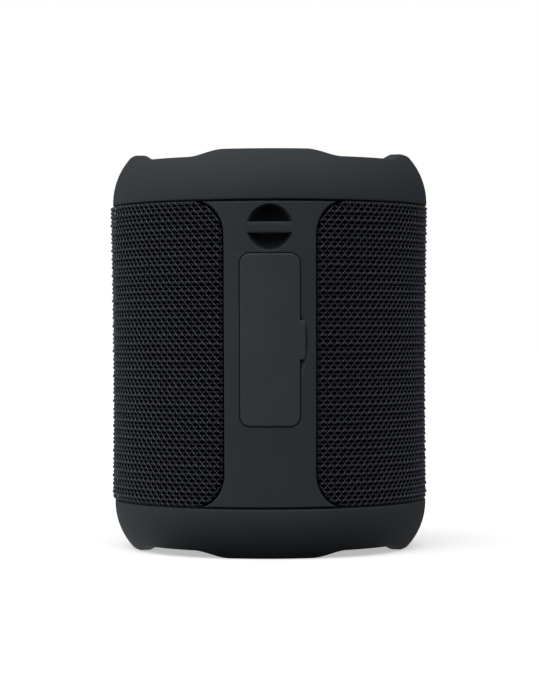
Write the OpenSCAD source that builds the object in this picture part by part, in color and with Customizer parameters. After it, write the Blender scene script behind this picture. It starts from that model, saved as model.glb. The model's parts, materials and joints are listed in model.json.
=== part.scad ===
// Portable shower speaker: two rubber end caps, a knitted wrap-round grille, a rear spine with a strap
// loop and a hinged port cover, and the drive unit, radiator, battery and boards inside.
// Origin: centre of the base plane. +Z up, -Y is the side with the spine and the ports.

/* [Body] */
// Overall height, from the foot crests to the top crests
body_h = 100; // [99:0.5:104]
// Radius of the end caps and the spine
body_r = 40.2; // [40:0.1:40.6]
// Height of each end cap, from its crests to its seam
cap_h = 12.6; // [12.4:0.1:12.8]
// Radius of the barrel curve that pulls each cap in towards its crests
cap_arc = 17.1; // [16.6:0.1:18]
// Height of the upright part of a cap's wall, below its barrel curve
cap_foot = 0.6; // [0.5:0.1:0.8]
// Width of the dark joint between a cap and the middle section
seam_gap = 0.3; // [0.25:0.05:0.4]

/* [Cap notches] */
// How far each notch drops below the crests
notch_d = 1.75; // [1.4:0.05:2.1]
// Azimuth of the notch centres, from the spine direction
notch_az = 43.6; // [43:0.2:45]
// Half-width of the notch floor
notch_floor = 7.3; // [6.5:0.05:7.4]
// Length of the slope towards the spine and front crests
slope_inner = 8.2; // [7.6:0.05:8.4]
// Length of the slope towards the side crests
slope_outer = 8.8; // [8:0.05:9]
// How far the top cap's notches are turned towards -X, in degrees
top_turn = 2; // [0:0.2:3]

/* [Spine] */
// Half-width of the spine at mid height
spine_half = 11.2; // [11:0.1:12]
// Width of the flare at the spine's ends
flare_w = 6.7; // [5.5:0.1:7]
// Height of the flare at the spine's ends
flare_h = 8.4; // [7:0.1:9]
// Height of the strap loop's centre
strap_z = 80.75; // [80.7:0.05:81]
// Radius of the strap bowl's mouth
strap_bowl_r = 5.65; // [5.4:0.05:5.65]

/* [Port cover] */
// Width of the port cover
cover_w = 14.6; // [14.2:0.1:14.8]
// Height of the port cover
cover_h = 41.9; // [41.6:0.1:42]
// Height of the port cover's centre
cover_z = 53.6; // [53.4:0.05:53.65]
// Corner radius of the port cover
cover_corner = 2.5; // [2.4:0.1:3]
// Height of the pull tab
tab_h = 9.7; // [8:0.1:11]
// How far the pull tab stands out beside the cover
tab_w = 1.35; // [1:0.05:1.6]

/* [Drive unit and radiator] */
// Height of the drive unit's axis
driver_z = 50; // [49.5:0.5:50.5]
// Radius of the drive unit's frame
driver_r = 26; // [25.8:0.1:26]
// Radius of the passive radiator's frame
radiator_r = 26.3; // [26:0.1:26.3]

/* [Controls] */
// Radius of the play button
play_r = 8; // [7:0.1:8.4]
// Radius of the four smaller buttons
key_r = 5.2; // [4.6:0.1:5.6]
// Distance of the four smaller buttons from the centre
key_ring = 19; // [18.5:0.1:19.4]
// Travel of each button
key_travel = 0.6; // [0.3:0.1:0.6]

/* [Hidden] */
$fn = 96;
eps = 0.01;

// Middle section, between the two seams
seam_lo = cap_h;
seam_hi = body_h - cap_h;
mid_lo = seam_lo + seam_gap / 2;
mid_hi = seam_hi - seam_gap / 2;

// Radial stack, from the outside in
fabric_r = body_r + 0.3;
fabric_in = body_r - 0.6;
frame_r = fabric_in - 0.1;
frame_in = frame_r - 1.3;
spine_in = body_r - 4.2;
house_r = spine_in - 2;
house_wall = 2;
house_in = house_r - house_wall;

// Housing: a tube with a flat front box that carries the drive unit
baffle_y = 24.5;
baffle_half = 26.5;
house_lo = seam_lo + 0.9;
house_floor = house_lo + house_wall;
house_hi = seam_hi - 2.9;
gasket_t = 0.6;
lid_lo = house_hi + gasket_t;
lid_hi = lid_lo + 1.8;

// Screws through the end caps
screw_az = [20, 160, 200, 340];
screw_ring = 29;
screw_r = 1.1;
screw_head_r = 2.2;
screw_head_h = 1.5;
boss_r = 3.2;

// Cap shell, measured from its own end face, half a seam gap short of the seam
cap_rise = cap_h - seam_gap / 2;
wall_in = 32.4;
flange_in = 26.6;
flange_z = 0.2;
flange_t = 1.9;
edge = 0.5;

// Control stack, measured from the upper seam
flange_hi = seam_hi + seam_gap / 2 + flange_z + flange_t;
post_lo = seam_lo - seam_gap / 2 - flange_z;
key_board_z = seam_hi + 1.2;
board_t = 1.2;
switch_z = key_board_z + board_t;
switch_h = 1.3;
panel_z = seam_hi + 5;
panel_t = 2.4;
panel_r = wall_in - 0.2;
skirt_t = 0.5;
key_top = panel_z + panel_t + 1;
key_flange = 0.8;
key_gap = 0.1;
symbol_h = 0.25;
key_places = [[0, 0], [key_ring, 0], [-key_ring, 0], [0, key_ring], [0, -key_ring]];
led_at = [13.5, -13.5];
mic_at = [-13.5, -13.5];

// Spine details
port_floor = body_r - 2.3;
cover_r = fabric_r;
cover_in = cover_r - 2;
cover_gap = 0.25;
cover_left = -cover_w / 2;
lip_h = cover_in - port_floor - 0.05;
scallop_w = 2.5;
scallop_h = 15.9;
scallop_in = port_floor + 0.7;
bar_h = 2.8;
bar_t = 1.7;
bowl_depth = 4.7;
bowl_wall = 1.4;
spine_boss_x = 9.8;
spine_boss_r = 2.6;
spine_boss_z = [house_floor + 3, house_hi - 2.8];

// Main board, upright on the centre plane, with its sockets on the rear edge
board_x = 1.6;
board_back = -31;
board_front = -5;
board_lo = 20;
board_hi = 80;
aux_z = cover_z + 11.4;
usb_z = cover_z + 0.6;
card_z = cover_z - 11.4;
aux_r = 1.8;
aux_nose_r = 2.9;
aux_back = -22;
aux_body = [5, 14, 6];
usb_body = [3.2, 7.3, 8.94];
card_body = [2, 14.9, 12.8];
window = [14, 35.6];
window_z = cover_z - 1.6;

// Drive unit, measured forward from the baffle
driver_ear = driver_r + 2.6;
coil_r = 6.5;
surround_z = 2.4;
spider_z = -7.6;

// Battery cell
cell_r = 9.25;
cell_h = 65;
cell_at = [-13, -14, house_floor + 2.9];

// ---------------------------------------------------------------- shared shapes

// A ring between two radii.
module ring(r_out, r_in, h) {
    difference() {
        cylinder(r = r_out, h = h);
        translate([0, 0, -1]) cylinder(r = r_in, h = h + 2);
    }
}

// A rectangle with rounded corners, centred, in 2D.
module rounded(w, h, r) {
    square([w - 2 * r, h], center = true);
    square([w, h - 2 * r], center = true);
    for (x = [-1, 1], y = [-1, 1])
        translate([x * (w / 2 - r), y * (h / 2 - r)]) circle(r = r, $fn = 48);
}

// Puts a 2D outline of width X and height Z on the rear side, from depth y0 out to y1.
module on_rear(z, y0, y1, x = 0) {
    translate([x, -y0, z]) rotate([90, 0, 0]) linear_extrude(y1 - y0) children();
}

// A round rod from point a to point b.
module rod(a, b, r) {
    d = b - a;
    l = norm(d);
    translate(a) rotate([0, acos(d.z / l), atan2(d.y, d.x)]) cylinder(r = r, h = l, $fn = 24);
}

// A wire along a list of points, with a slightly fuller bead at each bend.
module wire(points, r) {
    for (i = [0:len(points) - 2]) rod(points[i], points[i + 1], r);
    for (i = [1:len(points) - 2]) translate(points[i]) sphere(r = r * 1.3, $fn = 24);
}

// A round-headed screw, head up at the origin, shank down.
module screw(length, r = screw_r, head_r = screw_head_r, head_h = screw_head_h) {
    difference() {
        union() {
            cylinder(r = head_r, h = head_h, $fn = 32);
            translate([0, 0, -length]) cylinder(r = r, h = length + eps, $fn = 32);
        }
        translate([0, 0, head_h / 2]) cylinder(r = head_r * 0.45, h = head_h, $fn = 6);
    }
}

module at_screws() {
    for (a = screw_az) rotate([0, 0, a]) translate([screw_ring, 0, 0]) children();
}

// ---------------------------------------------------------------- end caps

// Half of a smooth S from (0, 0) to (w, -d), as points.
function s_curve(w, d, n = 8) = [for (i = [0:n]) [w * i / n, -d * (1 - cos(180 * i / n)) / 2]];

// The gap that a notch leaves above its floor: u across, v up from the seam.
module notch_outline() {
    inner_side = [for (p = s_curve(slope_inner, notch_d)) [p.x - notch_floor - slope_inner, cap_rise + p.y]];
    outer_side = [
        for (p = s_curve(slope_outer, notch_d)) [notch_floor + slope_outer - p.x, cap_rise + p.y]
    ];
    over = cap_rise + 2;
    polygon(concat(
        [[-notch_floor - slope_inner, over]],
        inner_side,
        [for (i = [len(outer_side) - 1:-1:0]) outer_side[i]],
        [[notch_floor + slope_outer, over]]
    ));
}

// Four notches, each a mirror image of its neighbour, turned together about the axis.
module notches(turn) {
    rotate([0, 0, -turn]) for (back = [0, 1], side = [0, 1])
        mirror([0, back, 0]) mirror([side, 0, 0]) rotate([0, 0, notch_az])
            translate([0, -20, 0]) rotate([90, 0, 0]) linear_extrude(body_r) notch_outline();
}

// The cap's wall in section: radius across, height from the seam up.
module cap_section() {
    crest_r = body_r - cap_arc + sqrt(pow(cap_arc, 2) - pow(cap_rise - cap_foot, 2));
    intersection() {
        union() {
            translate([body_r - cap_arc, cap_foot]) circle(r = cap_arc, $fn = 180);
            square([body_r, cap_foot]);
        }
        polygon([
            [wall_in, 0], [body_r - edge, 0], [body_r + eps, edge], [body_r + eps, cap_rise / 2],
            [crest_r + 1, cap_rise - 1], [crest_r - edge, cap_rise], [wall_in + edge, cap_rise],
            [wall_in, cap_rise - edge],
        ]);
    }
}

// One cap with its seam at z = 0 and its crests up.
module cap(turn = 0) {
    difference() {
        union() {
            difference() {
                rotate_extrude($fn = 180) cap_section();
                notches(turn);
            }
            translate([0, 0, flange_z]) ring(wall_in + 1, flange_in, flange_t);
        }
        at_screws() translate([0, 0, -1]) cylinder(r = screw_r + 0.15, h = 9, $fn = 32);
    }
}

module top_cap() {
    color("#343739") translate([0, 0, seam_hi + seam_gap / 2]) cap(top_turn);
}

module bottom_cap() {
    color("#1f2326") translate([0, 0, seam_lo - seam_gap / 2]) mirror([0, 0, 1]) cap();
}

// ---------------------------------------------------------------- spine and port cover

// The spine's right edge from behind, foot to head: a straight side that flares out at both seams.
// grow widens it, lo and hi are its ends, and tip is how far round each flare goes, in degrees.
function spine_edge(grow, lo, hi, tip, n = 7) = concat(
    [for (i = [n:-1:0]) [flare_x(tip * i / n, grow), lo + flare_h * (1 - sin(tip * i / n))]],
    [for (i = [0:n]) [flare_x(tip * i / n, grow), hi - flare_h * (1 - sin(tip * i / n))]]
);
function flare_x(t, grow) = spine_half + grow + flare_w * (1 - cos(t));

module spine_outline(grow, lo, hi, tip) {
    right = spine_edge(grow, lo, hi, tip);
    polygon(concat(right, [for (i = [len(right) - 1:-1:0]) [-right[i].x, right[i].y]]));
}

// A shell between two radii that leaves the spine's place free.
module wrap(r_out, r_in, lo, hi, gap) {
    cut_lo = mid_lo + 0.2;
    cut_hi = mid_hi - 0.2;
    span = 2 * flare_x(90, gap);
    difference() {
        translate([0, 0, lo]) ring(r_out, r_in, hi - lo);
        on_rear(0, 20, body_r + 5) union() {
            spine_outline(gap, cut_lo, cut_hi, 90);
            translate([-span / 2, lo - 1]) square([span, cut_lo - lo + 1 + eps]);
            translate([-span / 2, cut_hi - eps]) square([span, hi - cut_hi + 1 + eps]);
        }
    }
}

module cover_outline(grow) {
    rounded(cover_w + 2 * grow, cover_h + 2 * grow, cover_corner + grow);
}

// The pocket that the port cover lies in, and the finger scallop beside its tab.
module cover_pocket() {
    scallop_r = (pow(scallop_h / 2, 2) + pow(scallop_w, 2)) / (2 * scallop_w);
    difference() {
        on_rear(cover_z, 30, body_r + 5) cover_outline(cover_gap);
        translate([0, 0, 20]) cylinder(r = port_floor, h = 70);
    }
    difference() {
        on_rear(cover_z - 0.4, 30, body_r + 5) intersection() {
            translate([cover_w / 2 + scallop_w - scallop_r, 0]) circle(r = scallop_r);
            translate([cover_w / 2 - 1, -scallop_h]) square([scallop_w * 2, 2 * scallop_h]);
        }
        translate([0, 0, 20]) cylinder(r = scallop_in, h = 70);
    }
}

// The openings for the sockets, through the floor of the pocket.
module socket_openings() {
    on_rear(aux_z, 30, body_r) circle(r = aux_nose_r + 0.25, $fn = 48);
    on_rear(usb_z, 30, body_r) rounded(usb_body.x + 0.6, usb_body.z + 0.6, 1.6);
    on_rear(card_z, 30, body_r, board_x - card_body.x / 2)
        rounded(card_body.x + 0.6, card_body.z + 0.6, 0.6);
}

// The boss behind the strap bowl and the four screw bosses, trimmed to clear the housing.
module spine_bosses() {
    difference() {
        union() {
            intersection() {
                on_rear(strap_z, 30, spine_in + 1) circle(r = strap_bowl_r + bowl_wall);
                translate([0, 0, mid_lo]) cylinder(r = body_r, h = mid_hi - mid_lo);
            }
            for (x = [-1, 1], z = spine_boss_z)
                on_rear(z, 28, spine_in, x * spine_boss_x) circle(r = spine_boss_r);
        }
        cylinder(r = house_r + 0.1, h = body_h);
    }
}

// The hollow of the strap bowl, which leaves a flush bar across its middle.
module strap_bowl() {
    bowl_r = (pow(strap_bowl_r, 2) + pow(bowl_depth, 2)) / (2 * bowl_depth);
    difference() {
        translate([0, bowl_depth - body_r - bowl_r, strap_z]) sphere(r = bowl_r);
        translate([-body_r, bar_t - 2 * body_r, strap_z - bar_h / 2]) cube([2 * body_r, body_r, bar_h]);
    }
}

module rear_spine() {
    color("#303437") difference() {
        union() {
            intersection() {
                translate([0, 0, mid_lo]) ring(body_r, spine_in, mid_hi - mid_lo);
                on_rear(0, 20, body_r + 5) spine_outline(0, mid_lo, mid_hi, 78);
            }
            spine_bosses();
        }
        strap_bowl();
        cover_pocket();
        socket_openings();
        for (x = [-1, 1], z = spine_boss_z)
            on_rear(z, 28, spine_in + 1.5, x * spine_boss_x) circle(r = screw_r - 0.1, $fn = 32);
    }
}

module port_cover() {
    color("#313538") union() {
        intersection() {
            translate([0, 0, cover_z - cover_h]) ring(cover_r, cover_in, 2 * cover_h);
            on_rear(cover_z, 30, body_r + 5) cover_outline(0);
        }
        // pull tab
        intersection() {
            translate([0, 0, cover_z - tab_h / 2]) ring(cover_r, cover_r - 1.3, tab_h);
            on_rear(cover_z, 30, body_r + 5)
                translate([cover_w / 2 - 1, 0]) rounded(2 * (tab_w + 1), tab_h, 0.8);
        }
        // sealing lip round the inside
        intersection() {
            translate([0, 0, cover_z - cover_h]) ring(cover_in + 0.1, cover_in - lip_h, 2 * cover_h);
            on_rear(cover_z, 30, body_r) difference() {
                cover_outline(-1.6);
                cover_outline(-2.3);
            }
        }
    }
}

// Soft strip that ties the cover to the pocket's floor along the hinge side.
module cover_tether() {
    color("#25292b") on_rear(cover_z, port_floor - 1.6, port_floor - 0.1, cover_left + 0.75)
        square([0.6, cover_h * 0.6], center = true);
}

// ---------------------------------------------------------------- grille

module grille_fabric() {
    color("#1b1d1f") wrap(fabric_r, fabric_in, mid_lo - 0.15, mid_hi + 0.15, 0.3);
}

// Stiff tube behind the fabric, opened by rows of slots.
module grille_frame() {
    rows = 4;
    slots = 13;
    slot_h = 14;
    pitch = (mid_hi - mid_lo) / rows;
    color("#141516") difference() {
        wrap(frame_r, frame_in, mid_lo, mid_hi, 0.5);
        for (row = [0:rows - 1], k = [0:slots - 1])
            translate([0, 0, mid_lo + pitch * (row + 0.5)])
                rotate([0, 0, 90 + (k - (slots - 1) / 2) * 22])
                    translate([frame_in - 2, -5.5, -slot_h / 2]) cube([6, 11, slot_h]);
    }
}

// ---------------------------------------------------------------- housing

module house_outline(grow = 0) {
    intersection() {
        circle(r = house_r + grow, $fn = 180);
        translate([-body_r, -body_r]) square([2 * body_r, body_r + baffle_y + grow]);
    }
    translate([-baffle_half - grow, 0]) square([2 * (baffle_half + grow), baffle_y + grow]);
}

// Places a child on the drive unit's axis: its z = 0 is the baffle, and its +z faces forward.
module on_driver() {
    translate([0, baffle_y, driver_z]) rotate([-90, 0, 0]) children();
}

// Places a child under the housing floor: its z = 0 is the floor, and its +z faces down.
module on_radiator() {
    translate([0, 0, house_lo]) mirror([0, 0, 1]) children();
}

// The same round post at each of the drive unit's four ears.
module driver_ears(h, r) {
    for (a = [45:90:315]) rotate([0, 0, a]) translate([driver_ear, 0, 0]) cylinder(r = r, h = h, $fn = 32);
}

module housing() {
    color("#17191a") difference() {
        union() {
            difference() {
                translate([0, 0, house_lo]) linear_extrude(house_hi - house_lo) house_outline();
                translate([0, 0, house_floor])
                    linear_extrude(house_hi) house_outline(-house_wall);
            }
            // bosses for the top screws
            at_screws() translate([0, 0, house_hi - 9]) cylinder(r = boss_r, h = 9, $fn = 48);
            // posts down to the bottom cap
            at_screws() translate([0, 0, post_lo])
                cylinder(r = boss_r - 0.8, h = house_lo - post_lo + eps, $fn = 48);
            // post that holds the main board's foot
            translate([board_x - 1.6, board_back + 1.5, house_floor - eps]) cube([4.4, 7, 9]);
        }
        on_driver() translate([0, 0, -house_wall - 1]) cylinder(r = driver_r - 3.2, h = 5);
        on_driver() translate([0, 0, -7]) driver_ears(9, screw_r - 0.1);
        on_radiator() translate([0, 0, -house_wall - 1]) cylinder(r = radiator_r - 4, h = 5);
        on_rear(window_z, 25, house_r + 2) rounded(window.x, window.y, 1.5);
        at_screws() translate([0, 0, house_hi - 8]) cylinder(r = screw_r - 0.1, h = 10, $fn = 32);
        at_screws() translate([0, 0, post_lo - 1])
            cylinder(r = screw_r - 0.1, h = house_floor - post_lo + 0.7, $fn = 32);
        for (x = [-1, 1], z = spine_boss_z)
            on_rear(z, 25, house_r + 2, x * spine_boss_x) circle(r = screw_r + 0.15, $fn = 32);
        translate([board_x - 0.1, board_back - 0.2, board_lo - 0.1]) cube([board_t + 0.2, 12, 20]);
    }
}

module housing_lid() {
    color("#1c1e20") difference() {
        union() {
            translate([0, 0, lid_lo]) linear_extrude(lid_hi - lid_lo) house_outline();
            // post that holds the main board's head
            translate([board_x - 1.6, board_back + 1.5, board_hi - 3])
                cube([4.4, 7, lid_lo - board_hi + 3 + eps]);
        }
        at_screws() translate([0, 0, lid_lo - 1]) cylinder(r = screw_r + 0.15, h = 5, $fn = 32);
        translate([board_x - 0.1, board_back - 0.2, board_hi - 4]) cube([board_t + 0.2, 12, 4.1]);
        translate([3.6, -18.4, lid_lo - 1]) cube([1.2, 6.8, 5]);
    }
}

module lid_gasket() {
    color("#5d6164") difference() {
        translate([0, 0, house_hi]) linear_extrude(gasket_t) difference() {
            house_outline(-0.3);
            house_outline(-house_wall + 0.3);
        }
        at_screws() translate([0, 0, house_hi - 1]) cylinder(r = boss_r, h = 3, $fn = 48);
    }
}

// Frame of soft rubber that seals the sockets between the spine and the housing.
module port_gasket() {
    color("#565b5e") intersection() {
        translate([0, 0, window_z - 30]) ring(spine_in - 0.05, house_r + 0.05, 60);
        on_rear(window_z, 25, body_r) difference() {
            rounded(window.x + 6, window.y + 6, 3);
            rounded(window.x + 0.4, window.y + 0.4, 1.6);
        }
    }
}

// ---------------------------------------------------------------- controls

module key_holes(grow) {
    for (i = [0:4]) translate(key_places[i]) circle(r = (i == 0 ? play_r : key_r) + grow);
}

module control_panel() {
    color("#26292b") difference() {
        union() {
            translate([0, 0, panel_z]) cylinder(r = panel_r, h = panel_t, $fn = 180);
            translate([0, 0, flange_hi]) ring(panel_r, panel_r - skirt_t, panel_z - flange_hi + eps);
        }
        translate([0, 0, panel_z - 1]) linear_extrude(panel_t + 2) key_holes(key_gap);
        translate([led_at.x, led_at.y, panel_z - 1]) cylinder(r = 1.05, h = 5, $fn = 32);
        translate([mic_at.x, mic_at.y, panel_z - 1]) cylinder(r = 0.5, h = 5, $fn = 32);
    }
}

// A button: cap, retaining flange below the panel, and the stem that reaches its switch.
module button(r) {
    color("#2f3336") union() {
        translate([0, 0, panel_z - 0.1]) cylinder(r = r, h = key_top - panel_z + 0.1);
        translate([0, 0, panel_z - 0.1 - 0.4]) cylinder(r = r + key_flange, h = 0.4);
        stem_z = switch_z + switch_h + key_travel + 0.1;
        translate([0, 0, stem_z]) cylinder(r = 1.4, h = panel_z - stem_z, $fn = 32);
        translate([0, 0, key_top - eps]) linear_extrude(symbol_h + eps) children();
    }
}

module play_button() {
    button(play_r) {
        translate([-1.6, 0]) circle(r = 2.6, $fn = 3);
        for (x = [2.2, 3.9]) translate([x - 0.5, -2.2]) square([1, 4.4]);
    }
}

module bar_symbol(l) {
    square([l, 1], center = true);
}

module volume_up_button() {
    translate(key_places[1]) button(key_r) {
        bar_symbol(5);
        rotate(90) bar_symbol(5);
    }
}

module volume_down_button() {
    translate(key_places[2]) button(key_r) bar_symbol(5);
}

module power_button() {
    translate(key_places[3]) button(key_r) {
        difference() {
            circle(r = 2.6);
            circle(r = 1.8);
            translate([-1, 0]) square([2, 4]);
        }
        translate([-0.4, 0.2]) square([0.8, 2.8]);
    }
}

// Source button, marked with plain arcs that spread from a dot.
module mode_button() {
    translate(key_places[4]) button(key_r) intersection() {
        translate([0, -2.2]) union() {
            circle(r = 0.8);
            for (r = [1.9, 3.5]) difference() {
                circle(r = r + 0.8);
                circle(r = r);
            }
        }
        polygon([[0, -3.6], [4.6, 3], [-4.6, 3]]);
    }
}

module key_board() {
    color("#1d5a3a") translate([0, 0, key_board_z]) cylinder(r = flange_in - 0.6, h = board_t);
}

module tact_switches() {
    color("#b8bcc0") for (p = key_places)
        translate([p.x - 2.6, p.y - 2.6, switch_z]) cube([5.2, 5.2, switch_h]);
}

module status_led() {
    color("#f4f4e8") translate([led_at.x - 0.8, led_at.y - 0.4, switch_z]) cube([1.6, 0.8, 0.6]);
}

module light_pipe() {
    base = switch_z + 0.8;
    color("#dfe6ea") translate([led_at.x, led_at.y, base]) union() {
        cylinder(r = 1, h = panel_z + panel_t - base, $fn = 32);
        cylinder(r = 1.6, h = panel_z - base - 0.1, $fn = 32);
    }
}

module microphone() {
    color("#c9ccd0") translate([mic_at.x, mic_at.y, switch_z]) cylinder(r = 2, h = 1.4, $fn = 48);
}

// ---------------------------------------------------------------- drive unit

module driver_gasket() {
    color("#3c3f41") on_driver() ring(driver_r - 0.2, driver_r - 3, 0.6);
}

module driver_basket() {
    color("#3a3d40") on_driver() difference() {
        union() {
            translate([0, 0, 0.6]) ring(driver_r, driver_r - 4.2, 1.8);
            difference() {
                translate([0, 0, 0.6]) driver_ears(1.8, 3);
                translate([0, 0, -1]) cylinder(r = driver_r - 1, h = 5);
            }
            translate([0, 0, -10.5]) ring(driver_r - 3.6, driver_r - 5, 12);
            translate([0, 0, -10.5]) ring(driver_r - 4, 8, 1.5);
            translate([0, 0, -10.5]) ring(driver_r - 4, driver_r - 7.5, 10.5 + spider_z);
        }
        translate([0, 0, -5]) driver_ears(9, screw_r + 0.15);
        for (a = [0:60:300]) rotate([0, 0, a]) translate([10, -5, -7]) cube([20, 10, 4.5]);
        for (a = [30:60:330]) rotate([0, 0, a]) translate([14.8, 0, -12]) cylinder(r = 2.6, h = 4);
    }
}

module driver_top_plate() {
    color("#9ea3a8") on_driver() translate([0, 0, -13]) ring(16, 7.2, 2.5);
}

module driver_magnet() {
    color("#2b2c2e") on_driver() translate([0, 0, -21]) ring(17, 9, 8);
}

module driver_yoke() {
    color("#a5aaae") on_driver() union() {
        translate([0, 0, -23.5]) cylinder(r = 15.5, h = 2.5);
        translate([0, 0, -21 - eps]) cylinder(r = 6.2, h = 10.3);
    }
}

module voice_coil_former() {
    color("#c8a15a") on_driver() translate([0, 0, -16]) ring(coil_r + 0.15, coil_r, 12.2);
}

module voice_coil() {
    color("#b5651d") on_driver() translate([0, 0, -15.5]) ring(coil_r + 0.5, coil_r + 0.15, 5.5);
}

module driver_cone() {
    inner = coil_r + 0.2;
    color("#202123") on_driver() rotate_extrude($fn = 180) polygon([
        [inner, -4.6], [17.6, 1.9], [18.8, 1.9], [18.8, surround_z], [17.4, surround_z], [inner, -3.9],
    ]);
}

module dust_cap() {
    rim = 9;
    rise = 3;
    ball = (rim * rim + rise * rise) / (2 * rise);
    color("#2a2b2d") on_driver() translate([0, 0, -2.5]) difference() {
        translate([0, 0, rise - ball]) sphere(r = ball);
        translate([0, 0, rise - ball]) sphere(r = ball - 0.4);
        translate([0, 0, -2 * ball]) cylinder(r = 2 * ball, h = 2 * ball);
    }
}

// A half-roll edge with flat lips: r_in and r_out bound it, roll is the roll's radius.
module half_roll(r_in, r_out, lip_in, lip_out, t) {
    mid = (lip_in + lip_out) / 2;
    roll = (lip_out - lip_in) / 2;
    rotate_extrude($fn = 180) {
        translate([r_in, 0]) square([lip_in - r_in + t / 2, t]);
        translate([lip_out - t / 2, 0]) square([r_out - lip_out + t / 2, t]);
        intersection() {
            difference() {
                translate([mid, 0]) circle(r = roll + t / 2);
                translate([mid, 0]) circle(r = roll - t / 2);
            }
            translate([r_in, 0]) square([r_out - r_in, 2 * roll]);
        }
    }
}

module driver_surround() {
    color("#17181a") on_driver() translate([0, 0, surround_z])
        half_roll(17.6, driver_r - 0.4, 18.9, 22, 0.4);
}

module driver_spider() {
    color("#c9a227") on_driver() translate([0, 0, spider_z]) ring(driver_r - 5.1, coil_r + 0.2, 0.4);
}

module driver_trim_ring() {
    color("#2c2f31") on_driver() translate([0, 0, surround_z + 0.4]) ring(driver_r - 0.4, 22.4, 0.8);
}

module driver_screws() {
    color("#8f9498") on_driver() for (a = [45:90:315]) rotate([0, 0, a])
        translate([driver_ear, 0, surround_z]) screw(6, screw_r - 0.1, 2, 1.3);
}

// ---------------------------------------------------------------- passive radiator

module radiator_gasket() {
    color("#3c3f41") on_radiator() ring(radiator_r - 0.2, radiator_r - 3.4, 0.5);
}

module radiator_frame() {
    color("#35383a") on_radiator() translate([0, 0, 0.5]) ring(radiator_r, radiator_r - 3.6, 1.6);
}

module radiator_surround() {
    color("#141516") on_radiator() translate([0, 0, 2.1])
        half_roll(16, radiator_r - 0.2, 17.6, 22.6, 0.5);
}

module radiator_plate() {
    color("#2f3234") on_radiator() translate([0, 0, 1]) cylinder(r = 17.2, h = 1.1);
}

module radiator_weight() {
    color("#8a8f93") on_radiator() translate([0, 0, -1.6]) cylinder(r = 9, h = 2.6);
}

// ---------------------------------------------------------------- battery and boards

module battery() {
    color("#2f6f9f") translate(cell_at) union() {
        cylinder(r = cell_r, h = cell_h);
        translate([0, 0, cell_h - eps]) cylinder(r = 3, h = 0.8, $fn = 48);
    }
}

// Half-round cradle with two ribs that stand on the housing wall.
module battery_cradle() {
    turn = atan2(cell_at.y, cell_at.x);
    reach = norm([cell_at.x, cell_at.y]);
    color("#232527") intersection() {
        translate([cell_at.x, cell_at.y, 26]) rotate([0, 0, turn]) difference() {
            union() {
                cylinder(r = cell_r + 1.5, h = 50);
                for (z = [4, 40]) translate([0, -6, z]) cube([house_r - reach, 12, 2]);
            }
            translate([0, 0, -1]) cylinder(r = cell_r + 0.1, h = 52);
            translate([-20, -20, -1]) cube([20, 40, 52]);
        }
        cylinder(r = house_in - 0.05, h = body_h);
    }
}

module battery_leads() {
    top = cell_at.z + cell_h + 0.5;
    plug = [-2.2, -11, 74];
    color("#b3261e") union() {
        wire([[cell_at.x + 3.5, cell_at.y, top], [-3.4, -12, top], [-3.4, -12, 76], plug], 0.45);
        wire([
            [cell_at.x + 2, cell_at.y, cell_at.z - 0.5], [-2.4, -9, cell_at.z - 0.5],
            [-2.4, -9, 72], [-2.2, -9.6, 73],
        ], 0.45);
        translate([-3.3, -12.6, 70.5]) cube([board_x + 3.25, 5.2, 4.5]);
    }
}

module main_board() {
    color("#1d5a3a") difference() {
        translate([board_x, board_back, board_lo])
            cube([board_t, board_front - board_back, board_hi - board_lo]);
        translate([board_x - 1, board_back - 1, aux_z - aux_body.z / 2 - 0.2])
            cube([4, aux_back - board_back + 1.2, aux_body.z + 0.4]);
    }
}

module usb_socket() {
    mouth = spine_in + 0.6;
    color("#c4c8cc") difference() {
        on_rear(usb_z, mouth - usb_body.y, mouth) rounded(usb_body.x - 0.1, usb_body.z, 1.5);
        on_rear(usb_z, mouth - usb_body.y + 1, mouth + 1) rounded(usb_body.x - 0.7, usb_body.z - 0.6, 1.2);
    }
}

module usb_tongue() {
    mouth = spine_in + 0.6;
    color("#222426")
        on_rear(usb_z, mouth - usb_body.y + 1, mouth - 0.6) square([0.7, 6.7], center = true);
}

module aux_jack() {
    color("#1e2022") difference() {
        union() {
            translate([-aux_body.x / 2, 0.2 - spine_in, aux_z - aux_body.z / 2])
                cube([aux_body.x, spine_in + aux_back - 0.2, aux_body.z]);
            on_rear(aux_z, spine_in - 1, spine_in + 1.6) circle(r = aux_nose_r - 0.1, $fn = 48);
        }
        on_rear(aux_z, -aux_back + 1, spine_in + 3) circle(r = aux_r, $fn = 48);
    }
}

module card_slot() {
    mouth = spine_in + 0.4;
    x = board_x - card_body.x / 2;
    color("#b9bdc1") difference() {
        on_rear(card_z, mouth - card_body.y, mouth, x) square([card_body.x, card_body.z], center = true);
        on_rear(card_z, mouth - card_body.y + 1, mouth + 1, x) square([0.9, 11.2], center = true);
    }
}

// A block of the given size on the main board's +X face.
module on_board(y, z, size) {
    translate([board_x + board_t, y - size.y / 2, z - size.z / 2]) cube(size);
}

module amplifier_chip() {
    color("#1a1a1c") on_board(-12, 40, [0.9, 6, 6]);
}

module wireless_module() {
    color("#aeb3b7") on_board(-22, 33, [2.2, 12, 14]);
}

module capacitors() {
    color("#3b3f6b") for (z = [50, 58])
        translate([board_x + board_t, -10.5, z]) rotate([0, 90, 0]) cylinder(r = 3, h = 7, $fn = 48);
}

module power_inductor() {
    color("#4a4d50") on_board(-20, 50, [3, 6, 6]);
}

module ribbon_connector() {
    color("#e4dcc6") on_board(-15, 74.5, [1.1, 7.4, 3]);
}

module key_ribbon() {
    color("#d8a23a") translate([3.95, -18, 74]) cube([0.3, 6, key_board_z - 74 - 0.05]);
}

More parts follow.
